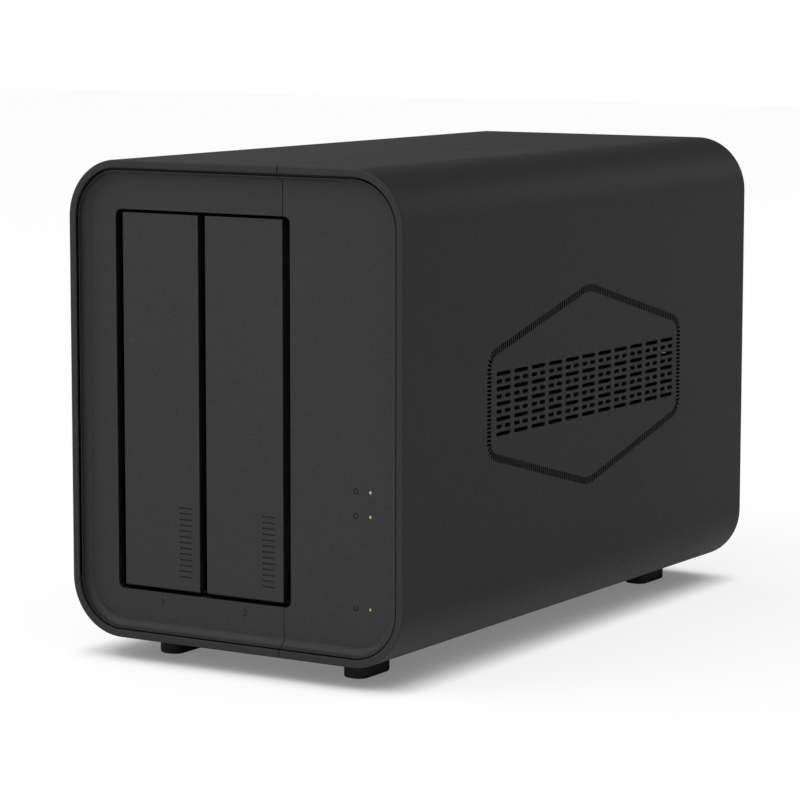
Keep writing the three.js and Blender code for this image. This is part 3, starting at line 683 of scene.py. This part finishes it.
def louvre_slots():
    """Columns of level dashes inside the hexagon; every other row is split in two."""
    slots = []
    for column in range(LOUVRE_COLUMNS):
        y = -LOUVRE_PITCH_Y * (LOUVRE_COLUMNS - 1) / 2 + LOUVRE_PITCH_Y * column
        for row in range(LOUVRE_ROWS):
            z = MID_Z + LOUVRE_PITCH_Z * (row - LOUVRE_ROWS // 2)
            dashes = [(y, LOUVRE_LENGTH)]
            if row % 2:
                dashes = [(y - HALF_DASH_OFFSET, HALF_DASH_LENGTH),
                          (y + HALF_DASH_OFFSET, HALF_DASH_LENGTH)]
            for cy, length in dashes:
                slots.append(stadium(cy, z, 1, 0, length, LOUVRE_WIDTH))
    return slots


def sleeve():
    edge = 0.45         # size of the rounded outer edge
    # wall section round the front edge: inset, y
    front = [(0, FRONT + edge), (0.13, FRONT + 0.13), (edge, FRONT),
             (WALL - 0.35, FRONT), (WALL - 0.1, FRONT + 0.1), (WALL, FRONT + 0.35)]
    section = front + [(inset, -y) for inset, y in front[::-1]]
    return loft([at_y(outline(inset), y) for inset, y in section], closed=True)


def in_slot_or_inside(c, normal):
    in_area = abs(c.x) < WIDTH / 2 - 0.02 and abs(c.y) < 66 and abs(c.z - MID_Z) < 34
    return in_area and (abs(normal.x) < 0.9 or normal.x * c.x < 0)


for side, name in ((-1, "left"), (1, "right")):
    ob = new_object(name + "_sleeve", *sleeve())
    keep_half(ob, side, gap=0.16, back=BACK + 5)
    x0, x1 = WIDTH / 2 - WALL - 1, WIDTH / 2 + 1
    if side < 0:
        x0, x1 = -x1, -x0
    cut(ob, [prism_x(slot, x0, x1) for slot in hexagon_slots() + louvre_slots()])
    piece(ob, "chassis", "shell", name + "_shell", crease=20)
    # painted shade: the vent slots' walls and the inner face of the vent area take the near-black
    # tray plastic
    second_look(ob, "tray", in_slot_or_inside)


# ------------------------------------------------------------------ dished front bezels
BAY_BOX = (-44.2, 18.9, BOTTOM + 14.8, BOTTOM + 130.65)     # x0, x1, z0, z1


def dished():
    """Solid filling the sleeve's mouth: a lip at the rim, then a cove down to the face."""
    rim, top, back = WALL + 0.52, FRONT + 0.4, FACE + 2.5
    lip, cove, steps = 0.34, 2.9, 8
    # inset, y
    profile = [(WALL - 0.04, back), (WALL - 0.04, top + 1.9), (rim - 0.12, top + 1.9),
               (rim - 0.02, top + 1.8), (rim, top + 0.40), (rim + 0.05, top + 0.16),
               (rim + 0.15, top + 0.03), (rim + lip, top)]
    for i in range(1, steps):   # the cove stops a step short of a quarter turn
        angle = math.pi / 2 * i / steps
        profile.append((rim + lip + cove * (1 - math.cos(angle)),
                        top + (FACE - top) * math.sin(angle)))
    # the rim sits a little right and low; the shift fades out down the cove
    shift_x, shift_z = 0.18, -0.19
    shares = [0.0] * 2 + [1.0] * 5 + [1.0 - i / steps for i in range(1, steps + 1)]
    return loft([[(x + shift_x * share, y, z + shift_z * share) for x, z in outline(inset)]
                 for (inset, y), share in zip(profile, shares)])


def on_bay_wall(c, normal):
    x0, x1, z0, z1 = -44.8, 19.4, BOTTOM + 14.2, BOTTOM + 131.2
    return abs(normal.y) < 0.5 and x0 < c.x < x1 and z0 < c.z < z1


for side, name in ((-1, "bay_bezel"), (1, "indicator_bezel")):
    ob = new_object(name + "_fine", *dished())
    keep_half(ob, side, gap=0.13, back=BACK)
    cut(ob, [prism_y(rounded(*BAY_BOX, 2.0, 8), FRONT - 3, FACE + 6)])
    if side > 0:
        cut(ob, [prism_y(ellipse(LIGHTS_X, z, 0.44, 0.54, 24), FRONT - 3, FACE + 6)
                 for z in LIGHTS_Z])
    piece(ob, "chassis", "bezel", name, crease=20)
    # the bay opening's walls take the material with painted shade
    second_look(ob, "wall", on_bay_wall)

# ------------------------------------------------------------------ light guide
# a bar with three oval prongs that reach forward into the bezel's holes
(x0, y0, z0), (x1, y1, z1) = box_mm("light_guide")
bar_front = y1 - 1.9
guide = new_object("light_guide_fine", *prism_y(rounded(x0, x1, z0, z1, 0.6, 5), bar_front, y1))
PRONG = [(0.7, y0), (0.92, y0 + 0.04), (1.0, y0 + 0.14), (1.0, bar_front + 0.4)]  # scale, y
for z in LIGHTS_Z:
    cut(guide, [loft([at_y(ellipse(LIGHTS_X, z, 0.36 * scale, 0.45 * scale, 24), y)
                      for scale, y in PRONG])], "UNION")
piece(guide, "chassis", "light", "light_guide")

# ------------------------------------------------------------------ levers with finger ribs
GROOVES, GROOVE_PITCH, LOWEST_GROOVE_Z = 13, 1.75, 26.9
for bay in BAYS:
    node = "tray_%d_lever" % bay
    ob = link_object("lever_%d_fine" % bay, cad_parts[node].data.copy())
    bevel(ob, width=0.28)
    cx = centre(node)[0]
    grooves = []
    for k in range(GROOVES):
        z = LOWEST_GROOVE_Z + k * GROOVE_PITCH
        grooves.append(prism_y(rounded(cx + 6.4, cx + 10.9, z - 0.24, z + 0.24, 0.22, 3),
                               FACE - 1, FACE + 0.2))
    cut(ob, grooves)
    piece(ob, "lever_%d" % bay, "lever", node)

# ------------------------------------------------------------------ faint printed marks
DIGIT_SIZE, DIGIT_Z = 3.0, 18.2
ICON_X, ICON_INNER, ICON_OUTER = 41.6, 0.56, 0.88


def printed_digit(name, text, x):
    curve = bpy.data.curves.new(name, "FONT")
    curve.body = text
    curve.size = DIGIT_SIZE * MM
    curve.align_x = curve.align_y = "CENTER"
    curve.extrude = 0.03 * MM
    curve.resolution_u = 3
    temporary = link_object(name + "_t", curve)
    mesh = evaluated_mesh(temporary)
    bpy.data.objects.remove(temporary)
    with editing(mesh) as bm:
        bmesh.ops.remove_doubles(bm, verts=bm.verts, dist=2e-6)
        bmesh.ops.recalc_face_normals(bm, faces=bm.faces)
    place = Matrix.Translation((x * MM, (FACE - 0.045) * MM, DIGIT_Z * MM))
    mesh.transform(place @ Matrix.Rotation(math.pi / 2, 4, "X"))
    register(link_object(name, mesh), "chassis", "mark")


printed_digit("bay_digit_1", "1", x=-27.75)
printed_digit("bay_digit_2", "2", x=2.4)

# name, z, start and end angle; the power ring is open at the top
for name, z, start, end in (("icon_network", NETWORK_Z, 0, 360), ("icon_disk", DISK_Z, 0, 360),
                            ("icon_power", POWER_Z, 115, 425)):
    icon = new_object(name, *ring(ICON_X, z, ICON_INNER, ICON_OUTER, FACE - 0.075,
                                  FACE - 0.005, start, end))
    register(icon, "chassis", "mark")

# ------------------------------------------------------------------ rear panel
MESH_PITCH, MESH_ACROSS_FLATS, MESH_RADIUS = 4.6, 3.9, 37.4
PORT_CLEARANCE = 0.35


def fan_mesh():
    """Hexagonal holes in staggered rows within a circle round the fan's axis."""
    radius = MESH_ACROSS_FLATS / 2 / math.cos(math.pi / 6)
    holes = []
    for row in range(-11, 12):
        for column in range(-11, 12):
            x = MESH_PITCH * (column + (0.5 if row & 1 else 0))
            z = MESH_PITCH * math.sqrt(0.75) * row
            if math.hypot(x, z) < MESH_RADIUS:
                holes.append(circle(FAN_X + x, MID_Z + z, radius, 6, math.pi / 6))
    return holes


def round_hole(node, radius, count=20):
    x, _, z = centre(node)
    return circle(x, z, radius, count)


def rear_panel():
    inner_y, outer_y = box_mm("rear_panel")[0][1], box_mm("rear_panel")[1][1]
    inset = WALL + 0.35
    # inset, y
    profile = [(inset, inner_y), (inset, outer_y - 0.4), (inset + 0.12, outer_y - 0.12),
               (inset + 0.4, outer_y)]
    ob = new_object("rear_panel_fine", *loft([at_y(outline(o), y) for o, y in profile]))
    holes = fan_mesh()
    for node in ("usb_port_upper", "usb_port_lower", "lan_port", "dc_jack"):
        low, high = box_mm(node)
        holes.append(rounded(low[0] - PORT_CLEARANCE, high[0] + PORT_CLEARANCE,
                             low[2] - PORT_CLEARANCE, high[2] + PORT_CLEARANCE, 0.5, 4))
    holes.append(round_hole("power_button", 4.75, 48))
    holes.append(round_hole("reset_button", 1.1))
    for k in (1, 2, 3, 4):
        holes.append(round_hole("rear_screw_%d" % k, 1.8))
        holes.append(round_hole("fan_screw_%d" % k, 2.2))
    cut(ob, [prism_y(hole, inner_y - 1, outer_y + 1) for hole in holes])
    # shallow groove round the fan mesh
    cut(ob, [ring(FAN_X, MID_Z, 39.6, 40.3, outer_y - 0.45, outer_y + 1, steps=72)])
    piece(ob, "chassis", "rear", "rear_panel", crease=20)


rear_panel()


# ------------------------------------------------------------------ screws with a cross recess
def fine_screw(name, node, axis):
    """Screw that fills the node's box, with its head at the high end of the axis."""
    low, high = (Vector(corner) * 1000 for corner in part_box(node))
    along, across = (1, 0) if axis == "y" else (0, 1)
    place = at_y if axis == "y" else at_x
    ca, cz = (low[across] + high[across]) / 2, (low.z + high.z) / 2
    head = (high[across] - low[across]) / 2
    tip, top = low[along], high[along]
    head_height = 1.9 if axis == "y" else 1.7
    base = top - head_height
    shank = head * 0.5
    profile = [(0.25, tip), (shank * 0.8, tip + 0.9)]       # radius, height
    height = tip + 1.0
    while height < base - 1.4:  # thread turns as fine ridges
        profile += [(shank * 0.84, height), (shank, height + 0.3)]
        height += 0.6
    profile += [(shank * 0.86, base - 0.4), (shank * 0.9, base), (head * 0.97, base),
                (head, base + 0.12), (head, base + head_height * 0.35)]
    for degrees in (25, 45, 65, 80):  # domed head
        angle = math.radians(degrees)
        profile.append((head * math.cos(angle) * 0.98,
                        base + head_height * 0.35 + head_height * 0.65 * math.sin(angle)))
    ob = new_object(name, *loft([place(circle(ca, cz, r, 28), h) for r, h in profile]))
    recess = (top - 1.0, top + 1)
    thin, long = head * 0.13, head * 0.6
    for half_a, half_z in ((long, thin), (thin, long)):
        span = (ca - half_a, ca + half_a)
        x_range, y_range = (span, recess) if axis == "y" else (recess, span)
        cut(ob, [block(*x_range, *y_range, cz - half_z, cz + half_z)])
    piece(ob, "chassis", "screw", node)


for k in (1, 2, 3, 4):
    fine_screw("cover_screw_%d_fine" % k, "rear_screw_%d" % k, "y")
    fine_screw("fan_screw_%d_fine" % k, "fan_screw_%d" % k, "y")
for k in (1, 2):
    fine_screw("board_screw_%d_fine" % k, "board_screw_%d" % k, "x")

# ------------------------------------------------------------------ fan rotor, swept blades
BLADES, BLADE_ROOT, BLADE_TIP = 7, 15.4, 36.5


def blade(k, front):
    loops = []
    for i in range(9):
        t = i / 8               # root to tip
        radius = BLADE_ROOT + (BLADE_TIP - BLADE_ROOT) * t
        span, lead = 0.36 - 0.04 * t, 0.30 * t * t      # half angle and sweep, radians
        near, far = [], []
        for j in range(7):
            u = -1 + 2 * j / 6  # edge to edge
            angle = u * span + lead + 2 * math.pi * k / BLADES
            camber = 1.6 * (1 - u * u)
            y = (front + 9.2) + u * (6.6 - 1.6 * t) + camber
            half = 0.55 * (1 - 0.6 * abs(u))            # half the thickness
            x, z = FAN_X + radius * math.cos(angle), MID_Z + radius * math.sin(angle)
            near.append((x, y - half, z))
            far.append((x, y + half, z))
        loops.append(near + far[::-1])
    return loft(loops)


def fan_rotor():
    (_, front, _), (_, back, _) = box_mm("fan_rotor")
    # cup: radius, y
    profile = [(0.01, front), (13.8, front), (15.6, front + 0.5), (16.4, front + 1.6),
               (16.5, back), (14.6, back), (14.6, front + 2.4), (0.01, front + 2.4)]
    ob = new_object("fan_rotor_fine",
                    *loft([at_y(circle(FAN_X, MID_Z, r, 48), y) for r, y in profile]))
    spindle = prism_y(circle(FAN_X, MID_Z, 1.5, 20), front + 1.0, back - 1)
    cut(ob, [spindle], "UNION")
    for k in range(BLADES):
        cut(ob, [blade(k, front)], "UNION")
    piece(ob, "rotor", "inner", "fan_rotor")


fan_rotor()

# ------------------------------------------------------------------ feet: moulded rubber pads
# half width in x, half length in y, corner radius, z; from the hollow below to the plug above
FOOT_RINGS = [
    (2.6, 7.2, 1.9, 0.55), (2.9, 7.5, 2.2, 0.0), (3.6, 8.2, 2.9, 0.0), (3.9, 8.5, 3.1, 0.25),
    (4.05, 8.65, 3.3, 0.7), (4.05, 8.65, 3.3, 5.0), (4.3, 8.9, 3.5, 5.25),
    (5.0, 9.6, 4.1, 5.3), (5.2, 9.8, 4.2, 5.5), (5.2, 9.8, 4.2, BOTTOM - 0.05),
    (2.0, 2.0, 1.99, BOTTOM - 0.04), (2.0, 2.0, 1.99, BOTTOM + WALL + 0.4),
    (2.9, 2.9, 2.89, BOTTOM + WALL + 0.42), (1.9, 1.9, 1.89, BOTTOM + WALL + 1.5),
]
for place in ("front_left", "front_right", "rear_left", "rear_right"):
    cx, cy, _ = centre("foot_" + place)
    rings = [[(x, y, z) for x, y in rounded(cx - hx, cx + hx, cy - hy, cy + hy, radius, 8)]
             for hx, hy, radius, z in FOOT_RINGS]
    piece(new_object("pad_" + place, *loft(rings)), "chassis", "rubber",
          "foot_" + place)


# ------------------------------------------------------------------ carried-over CAD nodes
def soften(node, look, width):
    """Dress a CAD node and round its edges by width; 0 leaves them sharp."""
    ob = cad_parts[node]
    dress(ob, look)
    ob.data.polygons.foreach_set("use_smooth", [True] * len(ob.data.polygons))
    ob.modifiers.new("weld", "WELD").merge_threshold = 1e-6
    if width:
        flatten = ob.modifiers.new("flatten", "DECIMATE")
        flatten.decimate_type = "DISSOLVE"
        flatten.angle_limit = math.radians(0.6)
        edges = ob.modifiers.new("edges", "BEVEL")
        edges.width = width * MM
        edges.segments = 2
        edges.limit_method = "ANGLE"
        edges.angle_limit = math.radians(40)
        edges.use_clamp_overlap = True
    normals = ob.modifiers.new("normals", "WEIGHTED_NORMAL")
    normals.keep_sharp = True
    normals.weight = 80


# node, look, edge width
CHASSIS_NODES = [
    ("indicator_board", "indicators", 0), ("drive_cage", "cage", 0.25),
    ("bay_divider", "cage", 0.2), ("bay_guide_lower", "inner", 0.1),
    ("bay_guide_upper", "inner", 0.1), ("backplane_board", "backplane", 0),
    ("sata_socket_1", "socket", 0.2), ("sata_socket_2", "socket", 0.2),
    ("main_board", "main_board", 0), ("clock_battery", "steel", 0.4),
    ("heatsink", "fins", 0.15), ("usb_port_upper", "port", 0.12),
    ("usb_port_lower", "port", 0.12), ("lan_port", "port", 0.15),
    ("dc_jack", "socket", 0.2), ("power_button", "socket", 0.25),
    ("reset_button", "socket", 0.15), ("fan_frame", "inner", 0.3),
    ("fan_cable", "inner", 0), ("indicator_cable", "inner", 0),
]
BAY_NODES = [
    ("tray_%d_frame", "tray", 0.2), ("tray_%d_hinge_pin", "screw", 0.1),
    ("tray_%d_latch", "tray", 0.3), ("tray_%d_clip_lower", "socket", 0.25),
    ("tray_%d_clip_upper", "socket", 0.25), ("drive_%d_casting", "cast", 0.4),
    ("drive_%d_cover", "cover", 0.3),
]
for node, look, width in CHASSIS_NODES:
    soften(node, look, width)
for bay in BAYS:
    for node, look, width in BAY_NODES:
        soften(node % bay, look, width)
    soften("drive_%d_board" % bay, "drive_%d_board" % bay, 0)

# ------------------------------------------------------------------ drive details
TEXT_LINES = (52, 44, 56, 30, 48)       # lengths of the printed lines, top down
BARCODE = (1.2, 0.5, 0.8, 1.6, 0.5, 0.5, 1.2, 0.8, 1.9, 0.5, 0.8,
           1.2, 0.5, 1.6, 0.8, 0.5, 1.2, 0.5, 0.8, 1.6, 0.5, 1.2)     # bar widths
BARCODE_GAP = 0.9


def label_print(mid_y):
    """Outlines of a header block, lines of print and a barcode."""
    start = mid_y - 57
    bars = [rect(start, mid_y + 11, MID_Z + 24, MID_Z + 33)]
    for k, length in enumerate(TEXT_LINES):
        z = MID_Z + 17 - 5.2 * k
        bars.append(rect(start, start + length, z, z + 1.1))
    y = start
    for width in BARCODE:
        bars.append(rect(y, y + width, MID_Z - 32, MID_Z - 18))
        y += width + BARCODE_GAP
    return bars


def drive_details(bay):
    """Label, its print, cover screws and spindle press on the drive cover's +X face."""
    (_, y0, z0), (face, y1, z1) = box_mm("drive_%d_cover" % bay)
    mid_y = (y0 + y1) / 2
    body = "tray_%d" % bay

    paper = rounded(mid_y - 60, mid_y + 14, MID_Z - 36, MID_Z + 36, 2, 5)
    label = new_object("drive_%d_label" % bay, *prism_x(paper, face + 0.02, face + 0.12))
    piece(label, body, "label")

    bars = [prism_x(bar, face + 0.121, face + 0.15) for bar in label_print(mid_y)]
    ink = new_object("drive_%d_label_print" % bay, *merge(bars))
    piece(ink, body, "print")

    # radius, x; the last two rows are the six-lobed recess
    head = [(2.5, face - 0.1), (2.5, face + 0.18), (2.3, face + 0.33), (1.25, face + 0.34),
            (1.1, face + 0.34), (1.05, face + 0.02)]
    places = ((y0 + 6, z0 + 6), (y0 + 6, z1 - 6), (y1 - 6, z0 + 6), (y1 - 6, z1 - 6),
              (mid_y, z0 + 5), (mid_y, z1 - 5))
    heads = [lathe_x(y, z, head, 36, lobed=(4, 5)) for y, z in places]
    screws = new_object("drive_%d_cover_screws" % bay, *merge(heads))
    piece(screws, body, "screw")

    # radius, x
    press = [(24.0, face - 0.1), (24.0, face + 0.10), (23.6, face + 0.22),
             (21.4, face + 0.22), (21.0, face + 0.10), (6.2, face + 0.10),
             (5.8, face + 0.26), (1.6, face + 0.26), (1.3, face + 0.05)]
    hub = new_object("drive_%d_spindle_press" % bay, *lathe_x(mid_y + 42, MID_Z, press, 64))
    piece(hub, body, "cover")


for bay in BAYS:
    drive_details(bay)

# ------------------------------------------------------------------ floor
FLOOR_HALF = 4000
floor_corners = rect(-FLOOR_HALF, FLOOR_HALF, -FLOOR_HALF, FLOOR_HALF)
floor = new_object("floor", [(x, y, 0) for x, y in floor_corners], [(0, 1, 2, 3)])
dress(floor, "floor")


# ------------------------------------------------------------------ world
def studio_world():
    """Plain white to the camera; a shaded studio to reflections and light."""
    world = bpy.data.worlds.new("studio")
    bpy.context.scene.world = world
    world.use_nodes = True
    w = NodeTree(world.node_tree)
    direction = w.separate(w.add("TexCoord").outputs["Generated"])
    x, y, z = direction["X"], direction["Y"], direction["Z"]

    def add(a, b):
        return w.math("ADD", a, b)

    def times(a, b):
        return w.math("MULTIPLY", a, b)

    def patch(toward, threshold, gain):
        """0 to 1 where the direction along toward passes the threshold."""
        along = add(add(times(x, toward[0]), times(y, toward[1])), times(z, toward[2]))
        rise = times(w.math("SUBTRACT", along, threshold), gain)
        return w.math("MINIMUM", w.math("MAXIMUM", rise, 0.0), 1.0)

    # brighter to the front left and above, darker to the right
    sideways = add(times(x, -0.32), times(w.math("MAXIMUM", y, 0.0), -0.22))
    level = add(add(sideways, times(y, -0.48)), add(times(z, 0.42), 0.46))
    level = w.math("MAXIMUM", level, 0.04)
    # an unlit patch behind and above, which the start of the rounding mirrors as a dark band
    dark = patch(toward=(-0.16, 0.82, 0.55), threshold=0.88, gain=12.0)
    level = times(level, w.math("SUBTRACT", 1.0, times(dark, 0.97)))
    # a pale patch low behind and to the left, which the flat top mirrors
    pale = patch(toward=(-0.62, 0.78, 0.05), threshold=0.86, gain=10.0)
    level = add(level, times(pale, 0.17))
    camera_ray = w.add("LightPath").outputs["Is Camera Ray"]
    seen = 1.05         # strength the camera sees
    strength = w.add("Mix", {0: camera_ray, 2: level, 3: seen}, data_type="FLOAT").outputs[0]
    background = w.tree.nodes["Background"]
    w.feed(background.inputs["Strength"], strength)
    background.inputs["Color"].default_value = (1, 1, 1, 1)


studio_world()


# ------------------------------------------------------------------ lights and camera
def area_light(name, location, target, size, power):
    light = bpy.data.lights.new(name, "AREA")
    light.shape = "DISK"
    light.size = size
    light.energy = power
    ob = link_object(name, light)
    ob.location = location
    aim = Vector(target) - Vector(location)
    ob.rotation_euler = aim.to_track_quat("-Z", "Y").to_euler()


area_light("key_soft", (-0.5, -0.9, 1.5), target=(0, 0, 0.08), size=0.9, power=5)
area_light("top_soft", (0.2, -0.1, 1.6), target=(0, 0, 0.1), size=1.2, power=0.3)
area_light("back_right_soft", (0.95, 2.0, 0.95), target=(0, 0, 0.1), size=0.5, power=4.6)

CAMERA_PLACE = (0.5386773, -0.8861010, 0.2053256)
HEADING, DOWNWARD_TILT, ROLL = 0.5546532, 0.1296294, 0.0012499     # radians

camera_data = bpy.data.cameras.new("camera")
camera = link_object("camera", camera_data)
camera_data.sensor_width = 36
camera_data.lens = 144.89685
camera_data.clip_start, camera_data.clip_end = 0.01, 50
camera.matrix_world = (
    Matrix.Translation(CAMERA_PLACE)
    @ Matrix.Rotation(HEADING, 4, "Z")
    @ Matrix.Rotation(math.pi / 2 - DOWNWARD_TILT, 4, "X")
    @ Matrix.Rotation(ROLL, 4, "Z")
)
scene = bpy.context.scene
scene.camera = camera
scene.view_settings.view_transform = "Standard"
scene.view_settings.look = "None"
